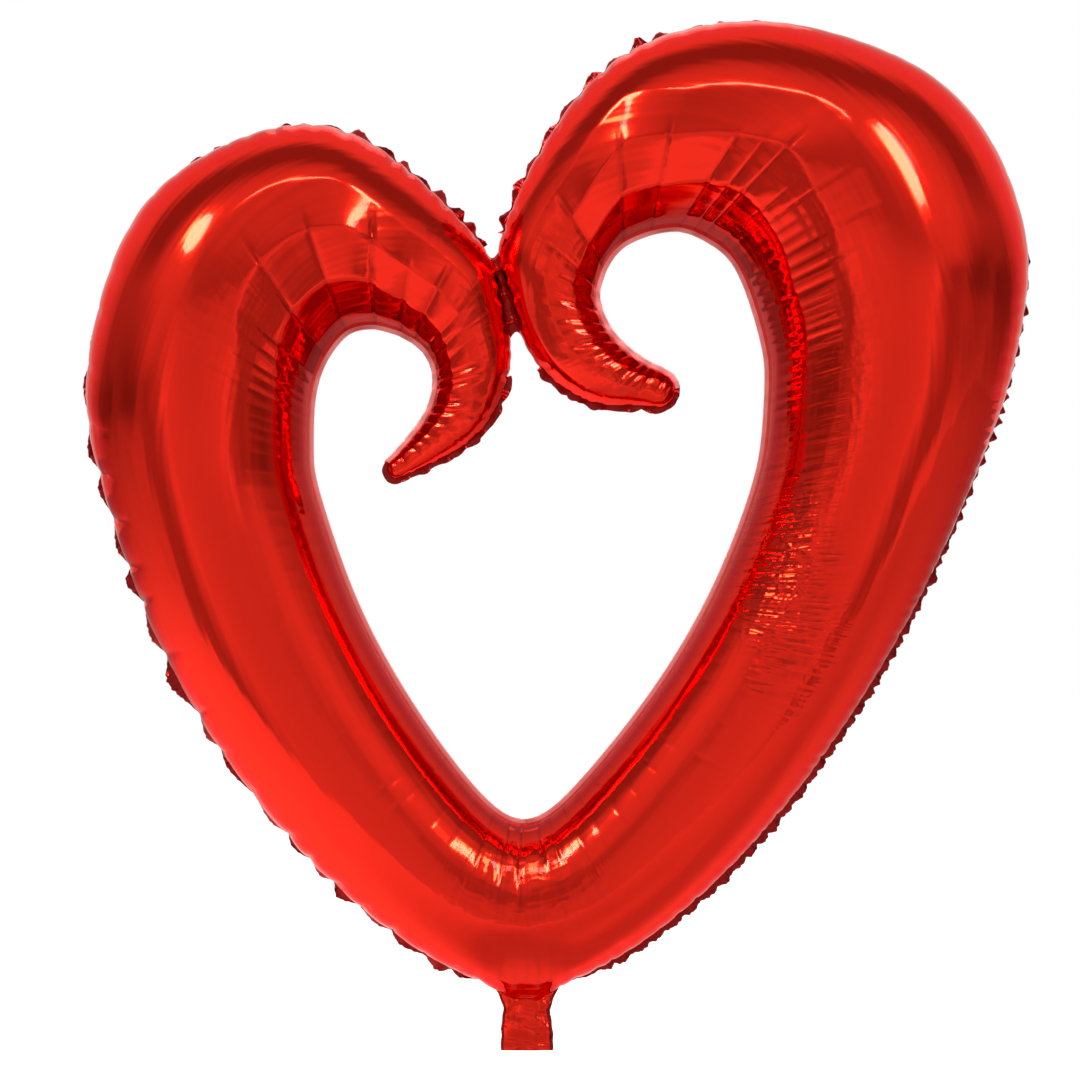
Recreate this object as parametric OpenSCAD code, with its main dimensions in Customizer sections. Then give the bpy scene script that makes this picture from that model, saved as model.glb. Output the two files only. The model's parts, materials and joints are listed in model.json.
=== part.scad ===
// Curled-heart foil balloon, inflated.
// Frame: origin on the neck where the ribbon is tied, +Z up, front facing -Y, +X to the right.

/* [Heart] */
// Width across both lobes, measured on the tube without its seals
heart_w = 900; // [450:10:1400]
// Height from the bottom of the tube to the top of the higher lobe
heart_h = 930; // [450:10:1450]
// Depth of the inflated tube as a share of its width
tube_roundness = 0.94; // [0.7:0.02:1.1]

/* [Film] */
// Thickness of one film as modelled
film_t = 0.5; // [0.3:0.05:0.8]
// Width of the fused seal outside the lobes and sides
outer_seal_w = 9; // [5:0.5:14]
// Width of the fused seal around the free curled ends
hook_seal_w = 6; // [4:0.5:10]
// Width of the fused seal around the inside of the heart
inner_seal_w = 6; // [4:0.5:10]

/* [Neck and tail] */
// Length of the neck from the tied line up to the tube
neck_len = 19; // [14:1:40]
// Length of the tail below the tied line
tail_len = 39; // [25:1:90]
// Width of the neck and tail
tail_w = 50; // [34:1:70]
// Width of the fused seal down each side of the neck and tail
side_seal_w = 4; // [2:0.5:7]
// Bare film left at the tied line so that the tail can fold
fold_gap = 4.4; // [4:0.2:8]

/* [Valve] */
// Width of the self-sealing valve sleeve
valve_w = 26; // [16:1:30]
// Length of the valve sleeve above the bottom of the tube
valve_reach = 90; // [50:5:120]
// Distance from the mouth of the tail up to the mouth of the valve
valve_setback = 7; // [3:1:15]
// Width of each side weld of the valve
valve_weld_w = 3; // [1.5:0.5:4]
// Thickness of one valve film as modelled
valve_film_t = 0.15; // [0.1:0.05:0.2]
// Thickness of the printed release coat as modelled
coat_t = 0.05; // [0.04:0.01:0.06]

/* [Hidden] */

// The design size that the ribs below are drawn at
DESIGN_W = 900;
DESIGN_H = 930;
// Ribs across the tube: outer x, outer z, inner x, inner z, from the left curled tip,
// over the left lobe, down to the bottom, up the right side to the right curled tip
RIBS = [
    [-120, 491, -127, 510], [-47, 531, -98, 546], [-16, 590, -87, 573], [-19, 652, -88, 600],
    [-40, 714, -104, 622], [-160, 820, -144, 638], [-260, 822, -176, 630], [-370, 748, -202, 588],
    [-420, 600, -208, 530], [-408, 490, -203, 480], [-330, 290, -153, 345], [-180, 98, -68, 212],
    [0, 0, -2, 159],
    [180, 102, 66, 212], [342, 312, 160, 342], [445, 530, 222, 487], [475, 640, 233, 580],
    [478, 722, 228, 627], [437, 825, 204, 695], [360, 892, 174, 722], [215, 929, 138, 732],
    [75, 885, 90, 715], [-24, 728, 67, 672], [-13.5, 652, 74, 642], [13, 597, 90, 620],
    [62, 563, 113, 602], [118, 560, 134, 592]];
RIB_LAST = len(RIBS) - 1;
BOTTOM_RIB = 12;
// The two lobes are welded together between these ribs
LEFT_WELD = [2.4, 4];
RIGHT_WELD = [22, 23.6];

SPAN_STEPS = 5;      // stations from one rib to the next
NOSE_STEPS = 4;      // stations that round off each curled tip
NOSE_END = 80;       // how far round the tip the tube goes, in degrees
ARC_STEPS = 10;      // facets across one panel
FLARE_FACETS = 96;
EPS = 0.01;

slot_half = film_t;  // the seals hold the two panels this far from the middle plane

function scaled(r) = [r[0] * heart_w / DESIGN_W, r[1] * heart_h / DESIGN_H + neck_len,
                      r[2] * heart_w / DESIGN_W, r[3] * heart_h / DESIGN_H + neck_len];
ribs = [for (r = RIBS) scaled(r)];

function rib_outer(r) = [r[0], r[1]];
function rib_inner(r) = [r[2], r[3]];
function rib_mid(r) = (rib_outer(r) + rib_inner(r)) / 2;
function spacing(i) = norm(rib_mid(ribs[i + 1]) - rib_mid(ribs[i]));
function rib_slope(i) =
    i == 0 ? (ribs[1] - ribs[0]) / spacing(0) :
    i == RIB_LAST ? (ribs[i] - ribs[i - 1]) / spacing(i - 1) :
    (ribs[i + 1] - ribs[i - 1]) / (spacing(i) + spacing(i - 1));

// A smooth curve through the ribs
function between_ribs(i, u) =
    (2 * pow(u, 3) - 3 * pow(u, 2) + 1) * ribs[i]
    + (pow(u, 3) - 2 * pow(u, 2) + u) * spacing(i) * rib_slope(i)
    + (3 * pow(u, 2) - 2 * pow(u, 3)) * ribs[i + 1]
    + (pow(u, 3) - pow(u, 2)) * spacing(i) * rib_slope(i + 1);

// Ribs that shrink round a curled tip; side says which way the tip points
function nose_rib(r, side, phi) =
    let (mid = rib_mid(r), arm = (rib_outer(r) - rib_inner(r)) / 2,
         ahead = side * [arm[1], -arm[0]],
         centre = mid + ahead * sin(phi))
    concat(centre + arm * cos(phi), centre - arm * cos(phi));

function nose_angle(k) = NOSE_END * k / NOSE_STEPS;

stations = concat(
    [for (k = [NOSE_STEPS:-1:1]) nose_rib(ribs[0], 1, nose_angle(k))],
    [for (i = [0:RIB_LAST - 1], s = [0:SPAN_STEPS - 1]) between_ribs(i, s / SPAN_STEPS)],
    [ribs[RIB_LAST]],
    [for (k = [1:NOSE_STEPS]) nose_rib(ribs[RIB_LAST], -1, nose_angle(k))]);
STATIONS = len(stations);
function station_of(rib) = NOSE_STEPS + round(rib * SPAN_STEPS);

// The tube's edge at the middle plane: out along the outer side and back along the inner side
edge = concat([for (s = stations) rib_outer(s)],
              [for (i = [STATIONS - 1:-1:0]) rib_inner(stations[i])]);
EDGE = len(edge);
function on_edge(i) = edge[(i + EDGE) % EDGE];
function edge_outward(i) =
    let (d = on_edge(i + 1) - on_edge(i - 1))
    [d[1], -d[0]] / norm(d);
function inner_index(station) = EDGE - 1 - station;

// One point of a panel's section; inset is 0 outside and film_t inside
function panel_point(r, j, inset) =
    let (mid = rib_mid(r), arm = (rib_outer(r) - rib_inner(r)) / 2,
         a = norm(arm) - inset, b = norm(arm) * tube_roundness - inset,
         start = asin(slot_half / b),
         v = start + (180 - 2 * start) * j / ARC_STEPS,
         flat = mid + arm / norm(arm) * a * cos(v))
    [flat[0], -b * sin(v), flat[1]];

ROW = ARC_STEPS + 1;
function two_triangles(a, b, c, d) = [[a, b, c], [a, c, d]];
function outside(i, j) = i * ROW + j;
function inside(i, j) = STATIONS * ROW + i * ROW + j;

// One film panel, from seal to seal
module panel_shell() {
    points = concat(
        [for (s = stations, j = [0:ARC_STEPS]) panel_point(s, j, 0)],
        [for (s = stations, j = [0:ARC_STEPS]) panel_point(s, j, film_t)]);
    last = STATIONS - 1;
    walls = [for (i = [0:last - 1], j = [0:ARC_STEPS - 1], t = concat(
        two_triangles(outside(i, j), outside(i, j + 1), outside(i + 1, j + 1), outside(i + 1, j)),
        two_triangles(inside(i, j), inside(i + 1, j), inside(i + 1, j + 1), inside(i, j + 1)))) t];
    rims = [for (i = [0:last - 1], t = concat(
        two_triangles(outside(i, 0), outside(i + 1, 0), inside(i + 1, 0), inside(i, 0)),
        two_triangles(outside(i, ARC_STEPS), inside(i, ARC_STEPS),
                      inside(i + 1, ARC_STEPS), outside(i + 1, ARC_STEPS)))) t];
    ends = [for (j = [0:ARC_STEPS - 1], t = concat(
        two_triangles(outside(0, j), inside(0, j), inside(0, j + 1), outside(0, j + 1)),
        two_triangles(outside(last, j), outside(last, j + 1),
                      inside(last, j + 1), inside(last, j)))) t];
    polyhedron(points = points, faces = concat(walls, rims, ends), convexity = 10);
}

// A flat film shape drawn in the X-Z plane, from y0 to y1
module plate(y0, y1) {
    translate([0, y1, 0]) rotate([90, 0, 0]) linear_extrude(y1 - y0) children();
}

// A fused seal along the tube's edge from one index to another
module edge_seal(from, to, width) {
    plate(-slot_half, slot_half)
        difference() {
            polygon(concat(
                [for (i = [from:to]) on_edge(i) + edge_outward(i) * width],
                [for (i = [to:-1:from]) on_edge(i) - edge_outward(i) * film_t]));
            neck_root();
            neck_channel();
            weld_area();
        }
}

// The neck flares into the seals on both sides
bottom_edge = [for (i = [station_of(BOTTOM_RIB):station_of(BOTTOM_RIB + 1)]) edge[i]];
flare_r = lookup(tail_w / 2 + neck_len, bottom_edge) - outer_seal_w;
flare_x = tail_w / 2 + flare_r;

module tube_area() {
    polygon(edge);
}

module weld_area() {
    polygon(concat(
        [for (i = [station_of(LEFT_WELD[0]):station_of(LEFT_WELD[1])])
            edge[i] - edge_outward(i) * film_t],
        [for (i = [station_of(RIGHT_WELD[0]):station_of(RIGHT_WELD[1])])
            edge[i] - edge_outward(i) * film_t]));
}

// Everything under the tube as far out as the neck flares
module neck_root() {
    difference() {
        translate([-flare_x, fold_gap / 2])
            square([2 * flare_x, lookup(flare_x, bottom_edge) - fold_gap / 2]);
        tube_area();
    }
}

module neck_area() {
    difference() {
        neck_root();
        for (side = [-1, 1])
            translate([side * flare_x, 0]) circle(r = flare_r, $fn = FLARE_FACETS);
    }
}

module neck_channel() {
    translate([-tail_w / 2 + side_seal_w, -EPS])
        square([tail_w - 2 * side_seal_w, neck_len + outer_seal_w]);
}

module tail_area() {
    translate([-tail_w / 2, -tail_len]) square([tail_w, tail_len - fold_gap / 2]);
}

module tail_channel() {
    translate([-tail_w / 2 + side_seal_w, -tail_len - EPS])
        square([tail_w - 2 * side_seal_w, tail_len]);
}

module front_panel() {
    color([0.80, 0.05, 0.04]) panel_shell();
}

module back_panel() {
    color([0.78, 0.05, 0.04]) mirror([0, 1, 0]) panel_shell();
}

module left_outer_seal() {
    color([0.62, 0.03, 0.03])
        edge_seal(station_of(LEFT_WELD[1]), station_of(BOTTOM_RIB), outer_seal_w);
}

module right_outer_seal() {
    color([0.62, 0.03, 0.03])
        edge_seal(station_of(BOTTOM_RIB), station_of(RIGHT_WELD[0]), outer_seal_w);
}

module left_hook_seal() {
    color([0.62, 0.03, 0.03])
        edge_seal(inner_index(station_of(0)) - EDGE, station_of(LEFT_WELD[0]), hook_seal_w);
}

module right_hook_seal() {
    color([0.62, 0.03, 0.03])
        edge_seal(station_of(RIGHT_WELD[1]), inner_index(station_of(RIB_LAST)), hook_seal_w);
}

module left_inner_seal() {
    color([0.85, 0.30, 0.28])
        edge_seal(inner_index(station_of(BOTTOM_RIB)), inner_index(station_of(0)), inner_seal_w);
}

module right_inner_seal() {
    color([0.85, 0.30, 0.28])
        edge_seal(inner_index(station_of(RIB_LAST)), inner_index(station_of(BOTTOM_RIB)),
                  inner_seal_w);
}

// The weld that joins the two lobes where they meet
module lobe_seal() {
    color([0.62, 0.03, 0.03]) plate(-slot_half, slot_half) weld_area();
}

module neck_front_ply() {
    color([0.76, 0.05, 0.04]) plate(-slot_half - film_t, -slot_half) neck_area();
}

module neck_back_ply() {
    color([0.76, 0.05, 0.04]) plate(slot_half, slot_half + film_t) neck_area();
}

module neck_side_seals() {
    color([0.62, 0.03, 0.03])
        plate(-slot_half, slot_half)
            difference() {
                neck_area();
                neck_channel();
            }
}

module tail_front_ply() {
    color([0.76, 0.05, 0.04]) plate(-slot_half - film_t, -slot_half) tail_area();
}

module tail_back_ply() {
    color([0.76, 0.05, 0.04]) plate(slot_half, slot_half + film_t) tail_area();
}

module tail_side_seals() {
    color([0.62, 0.03, 0.03])
        plate(-slot_half, slot_half)
            difference() {
                tail_area();
                tail_channel();
            }
}

// The valve sleeve: two clear films welded down both sides, one coated inside
valve_top = neck_len + valve_reach;
valve_bottom = -tail_len + valve_setback;

module valve_area(z0, z1, half_w) {
    translate([-half_w, z0]) square([2 * half_w, z1 - z0]);
}

module valve_ply(z0, z1) {
    plate(coat_t, coat_t + valve_film_t) valve_area(z0, z1, valve_w / 2);
}

module valve_welds(z0, z1) {
    plate(-coat_t, coat_t)
        difference() {
            valve_area(z0, z1, valve_w / 2);
            valve_area(z0 - EPS, z1 + EPS, valve_w / 2 - valve_weld_w);
        }
}

module valve_front_ply() {
    color([0.88, 0.88, 0.84]) mirror([0, 1, 0]) valve_ply(fold_gap / 2, valve_top);
}

module valve_back_ply() {
    color([0.88, 0.88, 0.84]) valve_ply(fold_gap / 2, valve_top);
}

module valve_side_welds() {
    color([0.75, 0.75, 0.72]) valve_welds(fold_gap / 2, valve_top);
}

module valve_release_coat() {
    color([0.80, 0.72, 0.45])
        plate(0, coat_t)
            valve_area(fold_gap / 2, neck_len + valve_reach / 2, valve_w / 2 - valve_weld_w);
}

module valve_mouth_front_ply() {
    color([0.88, 0.88, 0.84]) mirror([0, 1, 0]) valve_ply(valve_bottom, -fold_gap / 2);
}

module valve_mouth_back_ply() {
    color([0.88, 0.88, 0.84]) valve_ply(valve_bottom, -fold_gap / 2);
}

module valve_mouth_welds() {
    color([0.75, 0.75, 0.72]) valve_welds(valve_bottom, -fold_gap / 2);
}

front_panel();
back_panel();
left_outer_seal();
right_outer_seal();
left_hook_seal();
right_hook_seal();
left_inner_seal();
right_inner_seal();
lobe_seal();
neck_front_ply();
neck_back_ply();
neck_side_seals();
tail_front_ply();
tail_back_ply();
tail_side_seals();
valve_front_ply();
valve_back_ply();
valve_side_welds();
valve_release_coat();
valve_mouth_front_ply();
valve_mouth_back_ply();
valve_mouth_welds();
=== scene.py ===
"""Curled-heart foil balloon: its films, seals, neck and valve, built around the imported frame."""
import json
import math

import bpy
import numpy as np
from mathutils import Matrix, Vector


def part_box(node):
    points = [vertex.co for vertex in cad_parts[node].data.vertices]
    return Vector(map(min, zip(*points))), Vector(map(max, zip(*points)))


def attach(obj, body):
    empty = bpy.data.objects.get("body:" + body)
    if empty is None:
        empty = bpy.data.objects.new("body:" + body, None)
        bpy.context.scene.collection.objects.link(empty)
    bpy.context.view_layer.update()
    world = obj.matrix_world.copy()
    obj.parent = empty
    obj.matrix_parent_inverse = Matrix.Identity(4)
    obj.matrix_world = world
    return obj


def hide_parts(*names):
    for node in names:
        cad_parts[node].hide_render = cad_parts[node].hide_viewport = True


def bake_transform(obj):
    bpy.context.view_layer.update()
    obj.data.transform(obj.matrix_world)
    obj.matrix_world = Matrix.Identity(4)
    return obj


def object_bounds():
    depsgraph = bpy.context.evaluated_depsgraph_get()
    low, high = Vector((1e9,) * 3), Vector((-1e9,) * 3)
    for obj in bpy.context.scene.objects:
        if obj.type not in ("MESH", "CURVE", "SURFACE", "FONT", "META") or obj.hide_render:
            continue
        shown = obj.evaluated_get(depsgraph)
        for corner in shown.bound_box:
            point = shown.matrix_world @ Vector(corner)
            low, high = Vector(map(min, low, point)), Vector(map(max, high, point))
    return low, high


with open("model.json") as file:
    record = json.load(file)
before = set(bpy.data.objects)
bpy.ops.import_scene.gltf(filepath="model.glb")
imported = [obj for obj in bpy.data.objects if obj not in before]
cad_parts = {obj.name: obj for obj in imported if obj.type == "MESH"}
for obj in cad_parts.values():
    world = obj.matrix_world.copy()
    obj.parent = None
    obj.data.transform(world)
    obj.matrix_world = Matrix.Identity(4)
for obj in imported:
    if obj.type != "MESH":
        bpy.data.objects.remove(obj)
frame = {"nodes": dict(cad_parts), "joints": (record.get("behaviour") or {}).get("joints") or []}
CAD_LOW, CAD_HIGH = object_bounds()

bl_info = {
    "name": "Curled Heart Balloon",
    "version": (1, 0, 0),
    "blender": (4, 5, 0),
    "location": "3D View > Sidebar > Balloon",
    "description": "Builds the films, seals and valve of an inflated curled-heart foil balloon",
    "category": "Add Mesh",
}

MM = 0.001

# Sizes read from the frame
PANEL_LOW, PANEL_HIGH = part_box("front_panel")
NECK_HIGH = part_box("neck_front_ply")[1]
TAIL_LOW, TAIL_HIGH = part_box("tail_front_ply")
VALVE_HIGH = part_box("valve_front_ply")[1]
MOUTH_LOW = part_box("valve_mouth_front_ply")[0]
SLOT_HALF = -PANEL_HIGH.y  # the panels' rims stand this far from the seam plane
SEAM_BOTTOM = PANEL_LOW.z
FOLD_Z = next(j for j in frame["joints"] if j["name"] == "tail_fold")["pos_m"][2]


# ---------------------------------------------------------------- reading the tube's seam

RIM_NEAR = 2e-5  # how near the rims' plane a corner has to be, in metres
EVEN_ROUNDS = 6  # how often the ribs are smoothed
FINE_POINTS = 6000  # points on the seam curves before they are spaced out
FULL_SPACING_HALF = 32 * MM
STATION_SPACING = 2.7 * MM
ACROSS = 100


def seam_edges(node):
    """The edges of a panel's outside wall that lie on its rims, and their points."""
    mesh = frame["nodes"][node].data
    mesh.calc_loop_triangles()
    points, index, edges = [], {}, []
    for triangle in mesh.loop_triangles:
        corners = [mesh.vertices[v].co for v in triangle.vertices]
        on_rim = [abs(c.y + SLOT_HALF) < RIM_NEAR for c in corners]
        if sum(on_rim) != 2:
            continue
        rim = [c for c, flag in zip(corners, on_rim) if flag]
        inward = corners[on_rim.index(False)] - (rim[0] + rim[1]) / 2
        if triangle.normal.x * inward.x + triangle.normal.z * inward.z > 0:
            continue
        pair = []
        for c in rim:
            key = (round(c.x * 1e5), round(c.z * 1e5))
            if key not in index:
                index[key] = len(points)
                points.append((c.x, c.z))
            pair.append(index[key])
        edges.append(pair)
    return edges, np.array(points)


def walk_chains(edges):
    """Puts edges in order, as open rows of points."""
    links = {}
    for a, b in edges:
        if a != b:
            links.setdefault(a, set()).add(b)
            links.setdefault(b, set()).add(a)
    chains, seen = [], set()
    for start in sorted(links):
        if start in seen or len(links[start]) != 1:
            continue
        chain, ahead = [start], [start]
        while ahead:
            seen.add(ahead[0])
            ahead = [p for p in links[chain[-1]] if p not in seen]
            chain += ahead[:1]
        chains.append(chain)
    return chains


def seam_ribs():
    """Ribs across the tube at the seam plane: outer x, z and inner x, z, from the left tip."""
    edges, points = seam_edges("front_panel")
    rows = [points[chain] for chain in walk_chains(edges)]
    rows = [row if row[0, 0] < row[-1, 0] else row[::-1] for row in rows]
    rows.sort(key=lambda row: -np.linalg.norm(np.diff(row, axis=0), axis=1).sum())
    if len(rows) != 2 or len(rows[0]) != len(rows[1]):
        raise ValueError("the front panel's rims don't pair up: " + str([len(r) for r in rows]))
    return np.hstack(rows)


def blend_curve(ribs, places):
    """A smooth curve that follows a row of points; places counts along the row."""
    last = len(ribs) - 1
    i = np.clip(np.floor(places).astype(int), 0, last - 1)
    u = (places - i)[:, None]
    before, after = ribs[np.maximum(i - 1, 0)], ribs[np.minimum(i + 2, last)]
    return ((1 - u) ** 3 * before + (3 * u ** 3 - 6 * u ** 2 + 4) * ribs[i]
            + (-3 * u ** 3 + 3 * u ** 2 + 3 * u + 1) * ribs[i + 1] + u ** 3 * after) / 6


def even_out(ribs, rounds):
    """Takes the small corners out of the ribs without moving the tips."""
    ribs = ribs.copy()
    for _ in range(rounds):
        for share in (0.5, -0.52):
            step = ribs[:-2] + ribs[2:] - 2 * ribs[1:-1]
            ribs[4:-4] += share * 0.5 * step[3:-3]
    return ribs


def steps_along(points):
    """Length walked along a row of points, from 0."""
    return np.concatenate([[0], np.cumsum(np.linalg.norm(np.diff(points, axis=0), axis=1))])


def smooth_step(x, low, high):
    t = np.clip((x - low) / (high - low), 0, 1)
    return t * t * (3 - 2 * t)


class Tube:
    """The inflated tube: its two seam edges as dense rows of points, and its section."""

    def __init__(self, spacing):
        ribs = even_out(seam_ribs(), EVEN_ROUNDS)
        fine = np.linspace(0, len(ribs) - 1, FINE_POINTS)
        curve = blend_curve(ribs, fine)
        walked = (steps_along(curve[:, :2]) + steps_along(curve[:, 2:])) / 2
        half = np.linalg.norm(curve[:, :2] - curve[:, 2:], axis=1) / 2
        wanted = spacing * np.clip(half / FULL_SPACING_HALF, 0.3, 1.0)
        density = np.concatenate([[0], np.cumsum(2 * np.diff(walked) / (wanted[1:] + wanted[:-1]))])
        self.count = int(density[-1]) + 1
        places = np.interp(np.linspace(0, density[-1], self.count), density, fine)
        ribs = blend_curve(ribs, places)
        self.outer, self.inner = ribs[:, :2], ribs[:, 2:]
        self.mid = (self.outer + self.inner) / 2
        arm = (self.outer - self.inner) / 2
        self.half = np.linalg.norm(arm, axis=1)
        self.arm = arm / self.half[:, None]
        self.along_outer = steps_along(self.outer)
        self.along_inner = steps_along(self.inner)
        self.share = steps_along(self.mid)
        self.share /= self.share[-1]
        self.depth_ratio = -PANEL_LOW.y / self.half.max()

    def by_share(self, pairs):
        """A value along the tube, from (share of its length, value) pairs."""
        where, values = zip(*pairs)
        return np.interp(self.share, where, values)


# Landmarks along the tube, as shares of its length from the left tip to the right tip
LEFT_HOOK_FREE, LEFT_WELD_TOP, LEFT_CROWN, LEFT_SHOULDER, LEFT_SIDE = 0.047, 0.082, 0.134, 0.183, 0.223
LEFT_LOW, BOTTOM, RIGHT_LOW, RIGHT_SIDE, RIGHT_SHOULDER = 0.324, 0.459, 0.597, 0.714, 0.775
RIGHT_CROWN, RIGHT_WELD_TOP, RIGHT_HOOK_FREE = 0.839, 0.923, 0.961

# Gathers along each seam: (share, spacing, depth), in millimetres
INNER_PLEATS = (
    (0.0, 8, 1.6), (LEFT_HOOK_FREE, 12, 2.6), (LEFT_WELD_TOP, 17, 2.2), (0.11, 24, 2.2),
    (0.15, 25, 2.4), (LEFT_SHOULDER, 15, 1.2), (0.20, 9, 0.55), (LEFT_SIDE, 9, 0.15),
    (LEFT_LOW, 30, 0.1), (0.42, 22, 0.3), (BOTTOM, 13, 1.6), (0.49, 20, 0.4), (RIGHT_LOW, 20, 0.15),
    (0.66, 9, 0.35), (RIGHT_SIDE, 9, 0.55), (0.76, 9, 0.7), (0.79, 13, 1.1), (0.815, 17, 1.7),
    (0.835, 26, 2.4), (0.88, 26, 2.4), (0.90, 16, 1.6), (RIGHT_WELD_TOP, 11, 2.0),
    (RIGHT_HOOK_FREE, 11, 2.4), (1.0, 8, 1.6))
OUTER_PLEATS = (
    (0.0, 10, 0.9), (LEFT_HOOK_FREE, 13, 1.2), (LEFT_WELD_TOP, 22, 1.7), (0.11, 27, 2.2),
    (LEFT_CROWN, 27, 1.8), (0.165, 30, 0.5), (LEFT_SIDE, 48, 1.3), (0.25, 55, 2.4), (LEFT_LOW, 50, 2.2),
    (0.40, 40, 2.0), (BOTTOM, 20, 1.2), (0.52, 18, 1.0), (RIGHT_LOW, 15, 0.9), (0.68, 14, 0.8),
    (RIGHT_SIDE, 22, 0.5), (RIGHT_SHOULDER, 34, 0.2), (RIGHT_CROWN, 30, 0.4), (0.86, 27, 1.7),
    (RIGHT_WELD_TOP, 26, 1.9), (RIGHT_HOOK_FREE, 14, 1.3), (1.0, 10, 0.9))
# How far round from the inner seam the creased film reaches, in degrees
CREASED_REACH = (
    (0.0, 125), (LEFT_HOOK_FREE, 125), (LEFT_WELD_TOP, 112), (0.11, 107), (0.15, 107),
    (LEFT_SHOULDER, 98), (0.20, 88), (LEFT_SIDE, 80), (LEFT_LOW, 72), (BOTTOM, 100), (RIGHT_LOW, 84),
    (0.66, 80), (RIGHT_SIDE, 79), (0.76, 86), (0.79, 97), (0.81, 106), (0.87, 107), (0.90, 108),
    (RIGHT_WELD_TOP, 115), (RIGHT_HOOK_FREE, 125), (1.0, 125))
# How flat the creased film lies between its lengthwise ridges
FLATNESS = (
    (0.0, 0.3), (LEFT_HOOK_FREE, 0.5), (LEFT_WELD_TOP, 0.75), (0.11, 0.9), (0.15, 0.9),
    (LEFT_SHOULDER, 0.5), (0.20, 0.2), (LEFT_SIDE, 0.06), (LEFT_LOW, 0.04), (0.43, 0.06),
    (BOTTOM, 0.35), (0.49, 0.06), (RIGHT_LOW, 0.08), (0.66, 0.15), (RIGHT_SIDE, 0.3), (0.76, 0.6),
    (0.79, 0.9), (0.81, 0.95), (0.87, 0.95), (0.90, 0.8), (RIGHT_WELD_TOP, 0.7), (RIGHT_HOOK_FREE, 0.5),
    (1.0, 0.3))
RIDGES = (0.0, 0.20, 0.48, 0.75, 1.0)
CREASE_SHARPNESS = 13.0


class Pleats:
    """Creases that run in from one seam, spaced unevenly along it, with calmer film between."""

    def __init__(self, tube, along, table, seed):
        rng = np.random.default_rng(seed)
        shares, spacings, depths = np.array(table, float).T
        place, rows = 0.0, []
        while place < along[-1] + 2 * spacings.max() * MM:
            share = np.interp(place, along, tube.share)
            spacing = np.interp(share, shares, spacings) * MM * rng.uniform(0.68, 1.32)
            depth = np.interp(share, shares, depths) * MM * rng.uniform(0.6, 1.3)
            rows.append((place, depth, rng.uniform(0.8, 1.04), rng.uniform(-0.16, 0.16),
                         depth * rng.uniform(-0.6, 0.6), rng.uniform(0.35, 1.15)))
            place += spacing
        self.place, self.depth, self.reach, self.lean, self.tilt, self.flare = np.array(rows).T
        self.gap = np.diff(self.place)

    def facet_at(self, along):
        """Which pair of creases a point lies between, and how far along from the first, 0 to 1."""
        k = np.clip(np.searchsorted(self.place, along) - 1, 0, len(self.gap) - 1)
        return k, np.clip((along - self.place[k]) / self.gap[k], 0, 1)

    def depth_at(self, along, reach_share):
        """Depth of the creased film over (stations, across), and its crease lines for painted shade;
        reach_share is 0 at the seam.
        """
        lean = np.interp(along, self.place, self.lean * np.append(self.gap, 0))
        spread = along[:, None] - lean[:, None] * reach_share * 2
        k, within = self.facet_at(spread)
        depth, crease_line = np.zeros_like(spread), np.zeros_like(spread)
        for crease, toward in ((k, 1 - 2 * within), (k + 1, 2 * within - 1)):
            near = np.clip(toward, 0, 1)
            share = reach_share / self.reach[crease]
            line = near ** (CREASE_SHARPNESS * (1 + share)) * (1 - smooth_step(share, 0.85, 1.05))
            pillow = near ** 2 * (1 - smooth_step(share, 0.55, 1.0))
            depth += self.depth[crease] * (pillow + 0.8 * line)
            crease_line += line * np.clip(self.depth[crease] / (2 * MM), 0, 1)
        middle = 1 - np.abs(2 * within - 1) ** 4
        depth += self.tilt[k] * (within - 0.5) * middle * (1 - smooth_step(reach_share, 0.7, 0.95))
        return depth, crease_line


def edge_normals(points):
    """Directions to the right of a walk along a row of points, in the seam plane."""
    step = np.gradient(points, axis=0)
    step /= np.linalg.norm(step, axis=1)[:, None]
    return np.stack([step[:, 1], -step[:, 0]], axis=1)


def grid_faces(rows, columns, start=0):
    """Quads over a grid of points numbered row by row."""
    i, j = np.meshgrid(np.arange(rows - 1), np.arange(columns - 1), indexing="ij")
    a = (start + i * columns + j).ravel()
    return np.stack([a, a + 1, a + columns + 1, a + columns], axis=1)


def strip_faces(strips):
    """Quads over two strips of the same size."""
    rows, columns = strips[0].shape[:2]
    return np.concatenate([grid_faces(rows, columns), grid_faces(rows, columns, rows * columns)])


def new_piece(name, points, faces, material, thickness=0.0):
    """A smooth mesh object from arrays of points and faces."""
    mesh = bpy.data.meshes.new(name)
    mesh.from_pydata(np.asarray(points).reshape(-1, 3).tolist(), [], np.asarray(faces).tolist())
    mesh.update()
    mesh.shade_smooth()
    mesh.materials.append(material)
    piece = bpy.data.objects.new(name, mesh)
    bpy.context.scene.collection.objects.link(piece)
    if thickness:
        solid = piece.modifiers.new("film thickness", "SOLIDIFY")
        solid.thickness = thickness
        solid.offset = 0
    return piece


# ---------------------------------------------------------------- the shape of the films

OUTER_REACH = 0.24 * math.pi  # how far round from the outer seam its gathers reach
RIM_HALF = 0.1 * MM  # half the gap between the films at their rims
WANDER_STEP, WANDER_PAST, WANDER = 0.028, 0.05, 0.035
CREASE_SEED, CRINKLE_SEED, CRINKLE_COUNT = 8, 3, 44
NECK_SPREAD = 33 * MM
FUNNEL_TURN = 1.45
FUNNEL_DROP = 11 * MM
FUNNEL_TAPER = 0.72
GATHER_DEPTH = 3.2 * MM
GATHER_SPACING, GATHER_WANDER = 4.2 * MM, 13 * MM
CRINKLE_DEPTH = 3.0 * MM
NECK_ROWS, TAIL_ROWS = 16, 22
NECK_PUFF = 3.0 * MM  # how far air pushes the neck's film out
NECK_RISE = 30 * MM  # the neck's own stretch of seam lies below this height
NECK_WAIST, WAIST_HEIGHT = 0.1, 11 * MM
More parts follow.
